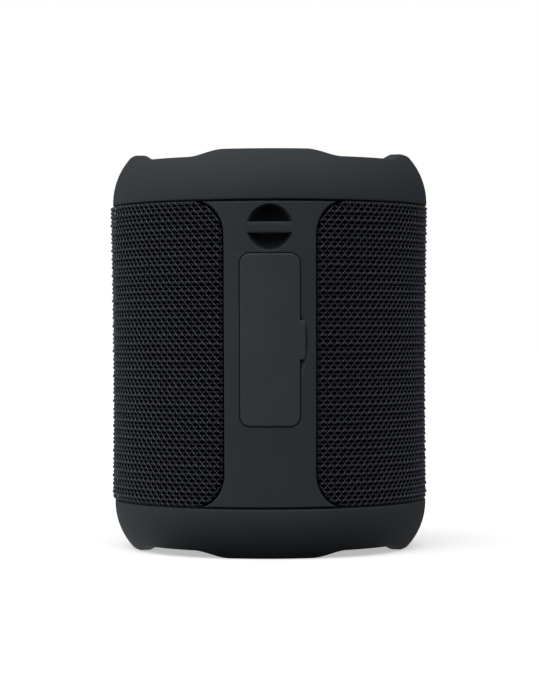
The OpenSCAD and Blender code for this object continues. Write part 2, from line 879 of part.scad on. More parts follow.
module speaker_wires() {
    color("#c2c2c2") for (k = [0, 1]) let (shift = [0, 0, -3 * k])
        wire([
            [board_x + board_t + 0.5, -8, 66] + shift, [21.5, 3, 62] + shift,
            [19.5, baffle_y - 11.2, 58] + shift,
        ], 0.55);
}

// ---------------------------------------------------------------- fasteners and damping

module top_screws() {
    color("#8f9498") at_screws() translate([0, 0, flange_hi]) screw(10);
}

module bottom_screws() {
    color("#8f9498") at_screws()
        translate([0, 0, post_lo - flange_t]) mirror([0, 0, 1]) screw(5);
}

module spine_screws() {
    depth = sqrt(pow(house_in, 2) - pow(spine_boss_x + screw_head_r, 2)) - 0.1;
    color("#8f9498") for (x = [-1, 1], z = spine_boss_z)
        translate([x * spine_boss_x, -depth, z]) rotate([-90, 0, 0])
            screw(spine_in - depth + 1, screw_r - 0.1, screw_head_r - 0.2);
}

// Block of open foam beside the drive unit that calms the air in the housing.
module damping_foam() {
    color("#7d7f82") translate([12, -20, 22]) cube([9, 14, 22]);
}

top_cap();
bottom_cap();
rear_spine();
port_cover();
cover_tether();
grille_fabric();
grille_frame();
housing();
housing_lid();
lid_gasket();
port_gasket();
control_panel();
play_button();
volume_up_button();
volume_down_button();
power_button();
mode_button();
key_board();
tact_switches();
status_led();
light_pipe();
microphone();
driver_gasket();
driver_basket();
driver_top_plate();
driver_magnet();
driver_yoke();
voice_coil_former();
voice_coil();
driver_cone();
dust_cap();
driver_surround();
driver_spider();
driver_trim_ring();
driver_screws();
radiator_gasket();
radiator_frame();
radiator_surround();
radiator_plate();
radiator_weight();
battery();
battery_cradle();
battery_leads();
main_board();
usb_socket();
usb_tongue();
aux_jack();
card_slot();
amplifier_chip();
wireless_module();
capacitors();
power_inductor();
ribbon_connector();
key_ribbon();
speaker_wires();
top_screws();
bottom_screws();
spine_screws();
damping_foam();
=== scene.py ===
"""Looks for the shower speaker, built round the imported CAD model.

Lengths are in millimetres until a mesh or a light is made. +Z is up and -Y is the side with the ports.
Angles round the body are measured from -Y towards +X.
"""
import json
import math

import bpy
import numpy as np
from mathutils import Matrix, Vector
from mathutils.geometry import delaunay_2d_cdt
from mathutils.kdtree import KDTree

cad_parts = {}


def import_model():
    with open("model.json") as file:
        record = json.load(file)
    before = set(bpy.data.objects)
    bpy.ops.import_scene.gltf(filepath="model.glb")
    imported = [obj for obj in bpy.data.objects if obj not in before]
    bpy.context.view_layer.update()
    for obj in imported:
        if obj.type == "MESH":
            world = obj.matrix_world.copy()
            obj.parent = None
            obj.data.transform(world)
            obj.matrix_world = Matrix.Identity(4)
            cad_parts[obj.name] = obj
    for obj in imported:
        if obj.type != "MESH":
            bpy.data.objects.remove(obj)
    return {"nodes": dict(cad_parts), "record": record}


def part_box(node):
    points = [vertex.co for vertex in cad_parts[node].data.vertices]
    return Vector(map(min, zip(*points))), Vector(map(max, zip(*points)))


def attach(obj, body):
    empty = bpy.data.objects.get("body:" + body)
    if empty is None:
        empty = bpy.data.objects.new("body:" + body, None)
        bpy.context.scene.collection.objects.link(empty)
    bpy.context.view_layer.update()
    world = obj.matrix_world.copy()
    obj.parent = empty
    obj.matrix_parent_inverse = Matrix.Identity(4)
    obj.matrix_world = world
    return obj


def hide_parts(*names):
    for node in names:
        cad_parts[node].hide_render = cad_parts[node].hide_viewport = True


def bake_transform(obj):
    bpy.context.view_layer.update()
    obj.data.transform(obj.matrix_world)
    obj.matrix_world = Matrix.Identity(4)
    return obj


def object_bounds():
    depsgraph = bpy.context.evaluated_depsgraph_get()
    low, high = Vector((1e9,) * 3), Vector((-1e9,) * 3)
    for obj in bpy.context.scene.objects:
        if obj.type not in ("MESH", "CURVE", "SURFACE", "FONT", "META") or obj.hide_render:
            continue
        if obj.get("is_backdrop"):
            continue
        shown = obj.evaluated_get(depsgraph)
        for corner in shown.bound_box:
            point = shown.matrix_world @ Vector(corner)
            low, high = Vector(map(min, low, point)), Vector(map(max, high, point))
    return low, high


MM = 0.001
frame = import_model()
cad_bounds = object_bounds()


def box_mm(node):
    """Lowest and highest corner of a CAD node, in millimetres."""
    low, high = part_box(node)
    return np.array(low) / MM, np.array(high) / MM


TOP_LOW, TOP_HIGH = box_mm("top_cap")
BOTTOM_HIGH = box_mm("bottom_cap")[1]
SPINE_LOW, SPINE_HIGH = box_mm("rear_spine")
COVER_LOW, COVER_HIGH = box_mm("port_cover")
FABRIC_LOW, FABRIC_HIGH = box_mm("grille_fabric")

BODY_R = TOP_HIGH[0]
CAP_RISE = TOP_HIGH[2] - TOP_LOW[2]
MID_LOW = SPINE_LOW[2]
MID_HIGH = SPINE_HIGH[2]

# Cap section: heights are over the end face that meets the middle
CAP_ARC = 17.1
CAP_FOOT = 0.6
LIP_R = 1.1
INNER_LIP_R = 0.8
SEAM_EDGE_R = 0.28
WALL_IN = 32.4
WALL_CORNER = 0.3
FLANGE_IN = 26.6
FLANGE_LOW = 0.2
FLANGE_HIGH = 2.1
FLANGE_CORNER = 0.2
GASKET_OUT = 39.7
GASKET_IN = 36.6

# Notches in the caps' rims
NOTCH_DEPTH = 1.75
NOTCH_TURN = math.radians(43.6)
NOTCH_FLOOR = 7.3
NOTCH_LONG = 8.2
NOTCH_SHORT = 8.8
TOP_TURN = math.radians(2)
RIM_R = 34

# Spine
SPINE_HALF = 11.2
FLARE_W = 6.7
FLARE_H = 8.4
FLARE_LOW = 12.75
FLARE_HIGH = 87.25
FLARE_TURN = 78
SPINE_IN = 36
SPINE_WALL = 1.2
SPINE_EDGE_R = 0.3
STRAP_Z = 80.75
BOWL_R = 5.65
BOWL_DEPTH = 4.7
BOWL_EDGE = 0.6
BAR_H = 2.8
BAR_T = 1.7
BAR_EDGE_R = 0.5

# Port cover and its pocket
COVER_W = 14.6
COVER_H = COVER_HIGH[2] - COVER_LOW[2]
COVER_Z = (COVER_HIGH[2] + COVER_LOW[2]) / 2
COVER_CORNER = 2.5
COVER_GAP = 0.15
COVER_OUT = BODY_R + 0.3
COVER_IN = COVER_OUT - 2
COVER_EDGE_R = 0.4
TAB_H = 9.7
TAB_REACH = COVER_HIGH[0]
TAB_IN = COVER_OUT - 1.3
LIP_OUT = -1.6
LIP_IN = -2.3
LIP_LOW = 37.95
LIP_WALL = 0.08
POCKET_FLOOR = 37.9
POCKET_WALL = 0.03
POCKET_EDGE_R = 0.2
SOCKET_GAP = 0.3
JACK_HOLE = 6.3
SCALLOP_X, SCALLOP_Z, SCALLOP_R = -4.15, 52.85, 13.9
SCALLOP_DEPTH = 1.6
SCALLOP_EDGE = 2.4
TETHER_HALF = 0.3
TETHER_WAIST = 0.1

# Knit: AROUND stitches of each family, CELL_Z from course to course. THREAD is a thread's half-width. The two
# crests swell and lift it, once and twice in a course, at a part of the course. SLACK is its unevenness, OVER
# how far one family lies over the other. LOOPS: each level loop's place in the course, lift, width over
# THREAD, and shift in stitches.
AROUND = 133
CELL_Z = 2.13
KNIT_R = 39.95
KNIT_SWELL = 0.35
KNIT_HALF = 37.4
KNIT_LEAN = 0.2
KNIT_EDGE_R = 0.9
KNIT_INSET = 0.35
THREAD = 0.1
FLATNESS = 1.1
COURSE_CREST, COURSE_CREST_AT = 0.35, 0.18
STITCH_CREST, STITCH_CREST_AT = 0.65, 0.26
CREST_LIFT, CREST_FULL = 0.2, 0.45
SLACK, SLACK_FULL = 0.035, 3
OVER, OVER_FRONT, OVER_SIDE = 0.02, 0.03, 0.11
THREAD_FULL = 0.96
LOOPS = ((0.2, -0.14, 0.9, 0.5), (0.34, -0.2, 0.8, 0), (0.74, -0.2, 0.8, 0))
LOOP_SAG = 0.1
LOOP_FLATNESS = 1.35
PANELS = 6
BACKING_OUT, BACKING_IN = 39.62, 39.52
BACKING_GAP = 0.9

# A mesh's filling keeps this share of its own spacing away from the rings.
FILL_GAP = 0.55


# ---------------------------------------------------------------- meshes

def mesh_piece(name, points, faces, slot, body, stands_for=(), sharp=40):
    """A smooth-shaded mesh piece from points in millimetres, on a body."""
    mesh = bpy.data.meshes.new(name)
    mesh.from_pydata((np.asarray(points) * MM).tolist(), [], faces)
    mesh.polygons.foreach_set("use_smooth", [True] * len(mesh.polygons))
    mesh.set_sharp_from_angle(angle=math.radians(sharp))
    mesh.update()
    piece = bpy.data.objects.new(name, mesh)
    bpy.context.scene.collection.objects.link(piece)
    mesh.materials.append(finish(slot))
    SAME_SLOT.get(slot, slot)
    if body:
        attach(piece, body)
    if stands_for:
        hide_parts(*stands_for)
    return piece


def grid_faces(rows, columns, wrap_rows=False, wrap_columns=False):
    """Quads over a grid of points stored row by row."""
    across, down = np.arange(columns - (not wrap_columns)), np.arange(rows - (not wrap_rows))
    i, j = np.meshgrid(down, across, indexing="ij")
    i2, j2 = (i + 1) % rows, (j + 1) % columns
    quads = np.stack([i * columns + j, i * columns + j2, i2 * columns + j2, i2 * columns + j], -1)
    return quads.reshape(-1, 4)


def arc(centre_u, centre_v, radius, start, end, n):
    """Points on an arc, angles in degrees. Centres may be arrays, one for each section."""
    turn = np.radians(np.linspace(start, end, n))
    u = np.asarray(centre_u)[..., None] + radius * np.cos(turn)
    v = np.asarray(centre_v)[..., None] + radius * np.sin(turn)
    return np.stack([u, v], -1)


def ease(x):
    """Rises smoothly from 0 to 1 while x goes from 0 to 1."""
    return (1 - np.cos(np.pi * np.clip(x, 0, 1))) / 2


def rounded_edge(inside, r):
    """How far a rounded edge of radius r drops, at a distance inside the edge."""
    d = np.clip(inside, 0, r)
    return r - np.sqrt(np.maximum(r * r - (r - d) ** 2, 0))


def skin(name, rings, spacing, area, front, back, slot, body, stands_for=(), fine=()):
    """A closed skin between two surfaces that are given over a plane.

    rings: point lists that the mesh follows, as (points, closed).
    spacing: distance between the points that fill the rest.
    area(u, v) is above 0 where the skin is. front and back turn (u, v) into points.
    fine: extra boxes of filling as (u0, u1, v0, v1, spacing).
    """
    points, edges = [], []
    for ring, closed in rings:
        start = len(points)
        points.extend(ring.tolist())
        steps = len(ring) if closed else len(ring) - 1
        edges.extend((start + i, start + (i + 1) % len(ring)) for i in range(steps))
    outline = np.array(points)
    low, high = outline.min(0), outline.max(0)
    tree = KDTree(len(points))
    for i, p in enumerate(points):
        tree.insert((p[0], p[1], 0), i)
    tree.balance()
    fills = [*fine, (low[0], high[0], low[1], high[1], spacing)]
    for u0, u1, v0, v1, step in fills:
        u, v = np.meshgrid(np.arange(u0, u1, step), np.arange(v0, v1, step))
        u[1::2] += step / 2
        u, v = u.ravel(), v.ravel()
        keep = area(u, v) > 0
        for f in fills:
            if f[4] < step:
                keep &= ~((u > f[0]) & (u < f[1]) & (v > f[2]) & (v < f[3]))
        for p in zip(u[keep], v[keep]):
            if tree.find((p[0], p[1], 0))[2] > step * FILL_GAP:
                points.append(p)
    flat, _, triangles, _, _, _ = delaunay_2d_cdt([Vector(p) for p in points], edges, [], 0, 1e-5)
    flat = np.array([(p.x, p.y) for p in flat])
    triangles = np.array([t for t in triangles if len(t) == 3])
    a, b, c = flat[triangles[:, 0]], flat[triangles[:, 1]], flat[triangles[:, 2]]
    turn = np.cross(b - a, c - a)
    middle = (a + b + c) / 3
    keep = (area(middle[:, 0], middle[:, 1]) > 0) & (np.abs(turn) > 1e-9)
    triangles[turn < 0] = triangles[turn < 0][:, ::-1]
    triangles = triangles[keep]
    used, triangles = np.unique(triangles, return_inverse=True)
    triangles = triangles.reshape(-1, 3)
    flat = flat[used]
    n = len(flat)
    sides = np.concatenate([triangles[:, [0, 1]], triangles[:, [1, 2]], triangles[:, [2, 0]]])
    known = set(map(tuple, sides.tolist()))
    rim = sorted((i, j) for i, j in known if (j, i) not in known)
    faces = triangles.tolist() + (triangles[:, ::-1] + n).tolist()
    faces += [[j, i, i + n, j + n] for i, j in rim]
    both = np.concatenate([front(flat[:, 0], flat[:, 1]), back(flat[:, 0], flat[:, 1])])
    return mesh_piece(name, both, faces, slot, body, stands_for)


# ---------------------------------------------------------------- flat outlines

def resample(points, step, closed=True):
    """Evenly spaced points along a polyline, which keeps its own corners."""
    ends = np.roll(points, -1, 0) if closed else points[1:]
    out = []
    for p, q in zip(points, ends):
        n = max(1, round(float(np.linalg.norm(q - p)) / step))
        out.append(p + (q - p) * np.arange(n)[:, None] / n)
    if not closed:
        out.append(points[-1:])
    return np.concatenate(out)


def distance(u, v, outline, closed=True):
    """Distance from each point to a polyline."""
    p = np.stack([np.ravel(u), np.ravel(v)], -1)
    starts = outline if closed else outline[:-1]
    ends = np.roll(outline, -1, 0) if closed else outline[1:]
    best = np.full(len(p), np.inf)
    for s, e in zip(starts, ends):
        d = e - s
        t = np.clip(((p - s) @ d) / max(float(d @ d), 1e-12), 0, 1)
        best = np.minimum(best, np.hypot(p[:, 0] - s[0] - t * d[0], p[:, 1] - s[1] - t * d[1]))
    return best.reshape(np.shape(u))


def offsets(outline, steps, inside):
    """Rings along a closed outline, moved inwards by each step (outwards if negative).

    Parts that a corner cuts off are left out. inside(u, v) is the signed distance inside the outline.
    """
    ahead = np.roll(outline, -1, 0) - np.roll(outline, 1, 0)
    normal = np.stack([ahead[:, 1], -ahead[:, 0]], -1)
    normal /= np.linalg.norm(normal, axis=1)[:, None]
    rings = []
    for step in steps:
        moved = outline - normal * step
        true = np.abs(inside(moved[:, 0], moved[:, 1]) - step) < 0.012 + 0.03 * abs(step)
        if true.all():
            rings.append((moved, True))
            continue
        first = int(np.argmin(true))
        order = np.roll(np.arange(len(outline)), -first)
        run = []
        for k in order:
            if true[k]:
                run.append(k)
            elif run:
                rings.append((moved[run], False))
                run = []
        if run:
            rings.append((moved[run], False))
    return rings


def rounded_box(w, h, r, centre_v, grow=0.0, step=0.3):
    """Outline of a rounded rectangle centred on u = 0, counter-clockwise."""
    w, h, r = w / 2 + grow, h / 2 + grow, r + grow
    corners = [(w - r, h - r, 0), (r - w, h - r, 90), (r - w, r - h, 180), (w - r, r - h, 270)]
    points = [arc(u, centre_v + v, r, a, a + 90, 9) for u, v, a in corners]
    return resample(np.concatenate(points), step)


def in_rounded_box(u, v, w, h, r, centre_v):
    """Signed distance inside that rounded rectangle."""
    du = np.abs(u) - w / 2 + r
    dv = np.abs(v - centre_v) - h / 2 + r
    return r - np.hypot(np.maximum(du, 0), np.maximum(dv, 0)) - np.minimum(np.maximum(du, dv), 0)


def circle(u, v, r, n):
    """n points round a circle."""
    return arc(u, v, r, 0, 360 * (n - 1) / n, n)


# ---------------------------------------------------------------- end caps

def rim_height(turn):
    """Height of a cap's rim over its end face, at an angle round the body."""
    folded = np.abs((turn + np.pi) % (2 * np.pi) - np.pi)
    folded = np.minimum(folded, np.pi - folded)
    across = RIM_R * np.sin(folded - NOTCH_TURN)
    long_side = ease((across + NOTCH_FLOOR + NOTCH_LONG) / NOTCH_LONG)
    short_side = ease((NOTCH_FLOOR + NOTCH_SHORT - across) / NOTCH_SHORT)
    return CAP_RISE - NOTCH_DEPTH * long_side * short_side


def cap_sections(height):
    """The cap's closed section at each rim height: radius and height over the end face."""
    axis_r = BODY_R - CAP_ARC
    reach = CAP_ARC - LIP_R
    lip_z = height - LIP_R
    lip_r = axis_r + np.sqrt(reach ** 2 - (lip_z - CAP_FOOT) ** 2)
    tilt = np.arctan2(lip_z - CAP_FOOT, lip_r - axis_r)
    n = len(height)
    sweep = tilt[:, None] * np.linspace(0, 1, 26)
    barrel = np.stack([axis_r + CAP_ARC * np.cos(sweep), CAP_FOOT + CAP_ARC * np.sin(sweep)], -1)
    over = tilt[:, None] + (np.pi / 2 - tilt)[:, None] * np.linspace(0, 1, 9)[1:]
    lip = np.stack([lip_r[:, None] + LIP_R * np.cos(over), lip_z[:, None] + LIP_R * np.sin(over)], -1)
    inner = arc(np.full(n, WALL_IN + INNER_LIP_R), height - INNER_LIP_R, INNER_LIP_R, 90, 180, 7)
    fixed = np.array([
        [WALL_IN, FLANGE_HIGH + WALL_CORNER], [WALL_IN - WALL_CORNER, FLANGE_HIGH],
        [FLANGE_IN + FLANGE_CORNER, FLANGE_HIGH], [FLANGE_IN, FLANGE_HIGH - FLANGE_CORNER],
        [FLANGE_IN, FLANGE_LOW + FLANGE_CORNER], [FLANGE_IN + FLANGE_CORNER, FLANGE_LOW],
        [WALL_IN, FLANGE_LOW], [WALL_IN + 0.1, 0], [BODY_R - 2, 0],
    ])
    heel = arc(BODY_R - SEAM_EDGE_R, SEAM_EDGE_R, SEAM_EDGE_R, -90, 0, 7)[:-1]
    rest = np.concatenate([fixed, heel])
    return np.concatenate([barrel, lip, inner, np.broadcast_to(rest, (n, *rest.shape))], 1)


def revolved(name, turn, sections, slot, stands_for=(), flip=False):
    """A piece of the body swept round the axis: one closed section, as radius and height, at each angle."""
    r, z = sections[..., 0], sections[..., 1]
    points = np.stack([r * np.sin(turn)[:, None], -r * np.cos(turn)[:, None], z], -1)
    faces = grid_faces(*r.shape, wrap_rows=True, wrap_columns=True)
    if flip:
        faces = faces[:, ::-1]
    mesh_piece(name, points.reshape(-1, 3), faces.tolist(), slot, "speaker_body", stands_for)


def cap(node, end_face, up, offset=0):
    """One end cap: its section swept round the axis while the rim rises and falls."""
    turn = np.linspace(0, 2 * np.pi, 720, endpoint=False)
    sections = cap_sections(rim_height(turn + offset)) * [1, up] + [0, end_face]
    revolved(node + "_skin", turn, sections, "soft_touch_cap", [node], flip=up < 0)


def seam_gasket(name, low, high):
    """Flat ring that closes the seam between a cap and the middle, a little way in."""
    turn = np.linspace(0, 2 * np.pi, 360, endpoint=False)
    out, back, round_off = GASKET_OUT, GASKET_IN, (high - low) / 4
    section = np.array([
        [out - round_off, low], [out, low + round_off],
        [out, high - round_off], [out - round_off, high],
        [back + round_off, high], [back, high - round_off],
        [back, low + round_off], [back + round_off, low],
    ])
    revolved(name, turn, np.broadcast_to(section, (len(turn), *section.shape)), "black_abs")


# ---------------------------------------------------------------- spine and strap loop

def spine_half(z):
    """Half-width of the spine at a height."""
    near = np.minimum(np.asarray(z) - FLARE_LOW, FLARE_HIGH - np.asarray(z))
    s = np.clip(1 - near / FLARE_H, 0, 1)
    return SPINE_HALF + FLARE_W * (1 - np.sqrt(1 - s * s))


def spine_outline(step):
    """The spine's outline seen from behind, counter-clockwise."""
    turn = np.radians(np.linspace(FLARE_TURN, 0, 40))
    x = SPINE_HALF + FLARE_W * (1 - np.cos(turn))
    up = FLARE_LOW + FLARE_H * (1 - np.sin(turn))
    flare = np.stack([x, up], -1)
    right = np.concatenate([flare, np.stack([x, FLARE_HIGH + FLARE_LOW - up], -1)[::-1]])
    left = right[::-1] * [-1, 1]
    return resample(np.concatenate([right, left]), step)


SPINE_LINE = spine_outline(0.3)


def in_spine(x, z):
    """Signed distance inside the spine's outline."""
    gap = distance(x, z, SPINE_LINE)
    within = (np.abs(x) < spine_half(z)) & (z > MID_LOW) & (z < MID_HIGH)
    return np.where(within, gap, -gap)


def in_pocket(x, z):
    """Signed distance inside the cover's pocket."""
    grow = 2 * COVER_GAP
    return in_rounded_box(x, z, COVER_W + grow, COVER_H + grow, COVER_CORNER + COVER_GAP, COVER_Z)


def on_barrel(r, x):
    """Depth of the body's rear at a distance from the middle, on a cylinder of radius r."""
    return -np.sqrt(r * r - x * x)


def deeper(a, b, k):
    """The deeper of two surfaces, with a rounded edge k wide where they meet."""
    h = np.clip(0.5 + 0.5 * (b - a) / k, 0, 1)
    return a + (b - a) * h + k * h * (1 - h)


def spine_front(x, z):
    """Outer surface of the spine, with the finger scallop, the strap's bowl and the cover's pocket."""
    face = on_barrel(BODY_R, x)
    into_dish = SCALLOP_R - np.hypot(x - SCALLOP_X, z - SCALLOP_Z)
    dish = SCALLOP_DEPTH * ease(into_dish / SCALLOP_EDGE) * (x > 0)
    y = face + dish + rounded_edge(np.maximum(in_spine(x, z), 0), SPINE_EDGE_R)
    ball_r = (BOWL_R ** 2 + BOWL_DEPTH ** 2) / (2 * BOWL_DEPTH)
    ball = ball_r ** 2 - x * x - (z - STRAP_Z) ** 2
    bottom = BOWL_DEPTH - BODY_R - ball_r
    bowl = np.where(ball > 0, bottom + np.sqrt(np.maximum(ball, 0)), -BODY_R - ball_r)
    y = deeper(y, bowl, BOWL_EDGE)
    inside = in_pocket(x, z)
    y = y + rounded_edge(-inside, POCKET_EDGE_R) * (inside < 0) + POCKET_EDGE_R * (inside >= 0)
    wall = np.clip(inside / POCKET_WALL, 0, 1)
    floor = on_barrel(POCKET_FLOOR, x)
    y = np.where(inside > 0, y + wall * (floor - y), y)
    return np.stack([x, y, z], -1)


def spine_back(x, z):
    """Inner surface of the spine, at least one wall behind the outer one."""
    front = spine_front(x, z)[:, 1]
    return np.stack([x, np.maximum(on_barrel(SPINE_IN, x), front + SPINE_WALL), z], -1)


def socket_outlines():
    """Openings through the pocket's floor, as (centre x, centre z, width, height, corner radius)."""
    openings = []
    for node, corner in (("aux_jack", 3.14), ("usb_socket", 1.3), ("card_slot", 0.4)):
        low, high = box_mm(node)
        centre_x, _, centre_z = (low + high) / 2
        w, _, h = high - low + 2 * SOCKET_GAP
        if node == "aux_jack":
            w = h = JACK_HOLE
        openings.append((centre_x, centre_z, w, h, corner))
    return openings


def rear_spine():
    """Spine down the rear. Its rings crowd at the edges of the spine, the pocket and the bowl."""
    edge_steps = [0.01, 0.04, 0.09, 0.16, 0.23, 0.3, 0.6]
    pocket_steps = [-0.5, -0.2, -0.15, -0.09, -0.04, -0.01, 0.0, 0.03, 0.06, 0.3]
    bowl_radii = [6.2, 5.95, 5.85, 5.78, 5.72, 5.67, 5.63, 5.6, 5.55, 5.48, 5.38, 5.2,
                  4.95, 4.6, 4.1, 3.5, 2.8, 2.0]
    pocket = rounded_box(COVER_W, COVER_H, COVER_CORNER, COVER_Z, COVER_GAP)
    rings = [(SPINE_LINE, True)]
    rings += offsets(SPINE_LINE, edge_steps, in_spine)
    rings += offsets(pocket, pocket_steps, in_pocket)
    rings += [(circle(0, STRAP_Z, r, 110), True) for r in bowl_radii]
    holes = socket_outlines()
    rings += [(rounded_box(w, h, r, z) + [x, 0], True) for x, z, w, h, r in holes]

    def area(x, z):
        left = in_spine(x, z)
        for hx, hz, w, h, r in holes:
            left = np.where(in_rounded_box(x - hx, z, w, h, r, hz) > 0, -1, left)
        return left

    dish = (7.7, 10.3, SCALLOP_Z - 9.5, SCALLOP_Z + 9.5, 0.22)
    skin("rear_spine_skin", rings, 0.8, area, spine_front, spine_back, "soft_touch_spine",
         "speaker_body", ["rear_spine"], [dish])


def strap_bar():
    """Bar across the bowl, flush with the spine: a rounded section swept along the barrel."""
    half_h, half_t, r = BAR_H / 2, BAR_T / 2, BAR_EDGE_R
    corners = [(half_t - r, half_h - r, 0), (r - half_t, half_h - r, 90),
               (r - half_t, r - half_h, 180), (half_t - r, r - half_h, 270)]
    section = np.concatenate([arc(u, v, r, a, a + 90, 6) for u, v, a in corners])
    x = np.linspace(-BOWL_R - 0.5, BOWL_R + 0.5, 41)
    sink = 0.02 + 0.25 * ease((np.abs(x) - BOWL_R + 0.1) / 0.6)
    y = on_barrel(BODY_R, x) + sink + half_t
    n = len(section)
    points = np.stack([
        np.repeat(x[:, None], n, 1),
        y[:, None] - section[:, 0],
        STRAP_Z + 0 * y[:, None] + section[:, 1],
    ], -1)
    faces = grid_faces(len(x), n, wrap_columns=True)[:, ::-1].tolist()
    faces += [list(range(n)), list(range(n * len(x) - 1, n * (len(x) - 1) - 1, -1))]
    mesh_piece("strap_bar", points.reshape(-1, 3), faces, "soft_touch_spine", "speaker_body")


# ---------------------------------------------------------------- port cover

def cover_line(step):
    """The cover's outline with its pull tab on the right, counter-clockwise."""
    outline = rounded_box(COVER_W, COVER_H, COVER_CORNER, COVER_Z, 0, 1.0)
    side = COVER_W / 2
    half = TAB_H / 2
    low_r, high_r = 1.0, 0.6
    tab = np.concatenate([
        [[side, COVER_Z - half]],
        arc(TAB_REACH - low_r, COVER_Z - half + low_r, low_r, -90, 0, 7),
        arc(TAB_REACH - high_r, COVER_Z + half - high_r, high_r, 0, 90, 7),
        [[side, COVER_Z + half]],
    ])
    on_side = outline[:, 0] > side - 0.01
    first = int(np.argmin(outline[:, 1] + 1000 * ~on_side))
    outline = np.roll(outline, -first, 0)
    on_side = outline[:, 0] > side - 0.01
    below = outline[on_side & (outline[:, 1] < COVER_Z - half - 0.2)]
    above = outline[on_side & (outline[:, 1] > COVER_Z + half + 0.2)]
    rest = outline[~on_side]
    return resample(np.concatenate([below, tab, above, rest]), step)


COVER_LINE = cover_line(0.3)


def inside_polygon(u, v, outline):
    """True where a point lies inside a closed outline."""
    within = np.zeros(np.shape(u), bool)
    for (u0, v0), (u1, v1) in zip(outline, np.roll(outline, -1, 0)):
        if v0 == v1:
            continue
        crosses = (v0 > v) != (v1 > v)
        within ^= crosses & (u < (u1 - u0) * (v - v0) / (v1 - v0) + u0)
    return within


def in_cover(x, z):
    """Signed distance inside the cover's outline, tab included."""
    gap = distance(x, z, COVER_LINE)
    return np.where(inside_polygon(x, z, COVER_LINE), gap, -gap)


def in_cover_box(x, z):
    """Signed distance inside the cover without its tab."""
    return in_rounded_box(x, z, COVER_W, COVER_H, COVER_CORNER, COVER_Z)


def cover_front(x, z):
    """Outer surface of the cover."""
    y = on_barrel(COVER_OUT, x) + rounded_edge(np.maximum(in_cover(x, z), 0), COVER_EDGE_R)
    return np.stack([x, y, z], -1)


def cover_back(x, z):
    """Inner surface of the cover: thinner under the tab, with a sealing lip round the rest."""
    y = on_barrel(COVER_IN, x)
    y = np.where(x > COVER_W / 2 + 0.03, on_barrel(TAB_IN, x), y)
    inner = in_cover_box(x, z)
    lip = np.clip((inner + LIP_OUT) / LIP_WALL, 0, 1) * np.clip((-LIP_IN - inner) / LIP_WALL, 0, 1)
    y = y + lip * (on_barrel(LIP_LOW, x) - y)
    return np.stack([x, y, z], -1)


def port_cover():
    """Cover with its rings at the rounded edge, the lip's walls and the step behind the tab."""
    box = rounded_box(COVER_W, COVER_H, COVER_CORNER, COVER_Z, 0, 0.4)
    rings = [(COVER_LINE, True)]
    rings += offsets(COVER_LINE, [0.015, 0.05, 0.12, 0.2, 0.3, 0.4, 0.65], in_cover)
    rings += offsets(box, [1.6, 1.68, 1.95, 2.22, 2.3], in_cover_box)
    for x in (COVER_W / 2, COVER_W / 2 + 0.06):
        z = np.arange(COVER_Z - TAB_H / 2 + 0.8, COVER_Z + TAB_H / 2 - 0.75, 0.4)
        rings.append((np.stack([np.full_like(z, x), z], -1), False))
    skin("port_cover_skin", rings, 0.8, in_cover, cover_front, cover_back, "soft_touch_cover",
         "port_cover", ["port_cover"])


def cover_tether():
    """Rubber web that ties the cover to the pocket's floor."""
    low, high = box_mm("cover_tether")
    x = (low[0] + high[0]) / 2
    foot, head = -POCKET_FLOOR + 0.5, -COVER_IN - 0.45
    rows = 15
    y = np.linspace(foot, head, rows)
    waist = TETHER_HALF - TETHER_WAIST * ease(1 - np.abs(np.linspace(-1, 1, rows)) * 1.3)
    flat = COVER_H * 0.3 - TETHER_HALF
    ends = np.linspace(0, np.pi, 7)
    z_end = flat + TETHER_HALF * np.sin(ends)
    z_side = np.concatenate([z_end, -z_end])
    x_side = np.concatenate([np.cos(ends), -np.cos(ends)])
    n = len(x_side)
    points = np.stack([
        x + waist[:, None] * x_side,
        np.repeat(y[:, None], n, 1),
        COVER_Z + 0 * waist[:, None] + z_side,
    ], -1)
    faces = grid_faces(rows, n, wrap_columns=True).tolist()
    faces += [list(range(n - 1, -1, -1)), list(range((rows - 1) * n, rows * n))]
    web = mesh_piece("cover_tether_web", points.reshape(-1, 3), faces, "soft_touch_cover", None,
                     ["cover_tether"])
    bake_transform(web)


# ---------------------------------------------------------------- knitted grille

KNIT_LOW, KNIT_HIGH = FABRIC_LOW[2], FABRIC_HIGH[2]
CELL_S = 2 * np.pi / AROUND
SPINE_RISE = np.linspace(12, 88, 150)
SPINE_RIGHT = np.stack([spine_half(SPINE_RISE), SPINE_RISE], -1)


def knit_border(turn, z):
    """How far a point on the knit is from its border, in millimetres."""
    turn = (turn + np.pi) % (2 * np.pi) - np.pi
    x = np.abs(BODY_R * np.sin(turn))
    side = np.full(np.shape(z), np.inf)
    near = np.abs(turn) < 0.8
    gap = distance(x[near], z[near], SPINE_RIGHT, closed=False)
    side[near] = np.where(x[near] > spine_half(z[near]), gap, -gap) - KNIT_INSET
    return np.minimum(side, np.minimum(z - KNIT_LOW, KNIT_HIGH - z))


def knit_radius(turn, z, border):
    """Radius of the knit: it swells towards the caps, leans to one side and rounds off at its border."""
    swell = KNIT_SWELL * ((z - (KNIT_LOW + KNIT_HIGH) / 2) / KNIT_HALF) ** 2
    return KNIT_R + swell - KNIT_LEAN * np.sin(turn) - rounded_edge(border, KNIT_EDGE_R)


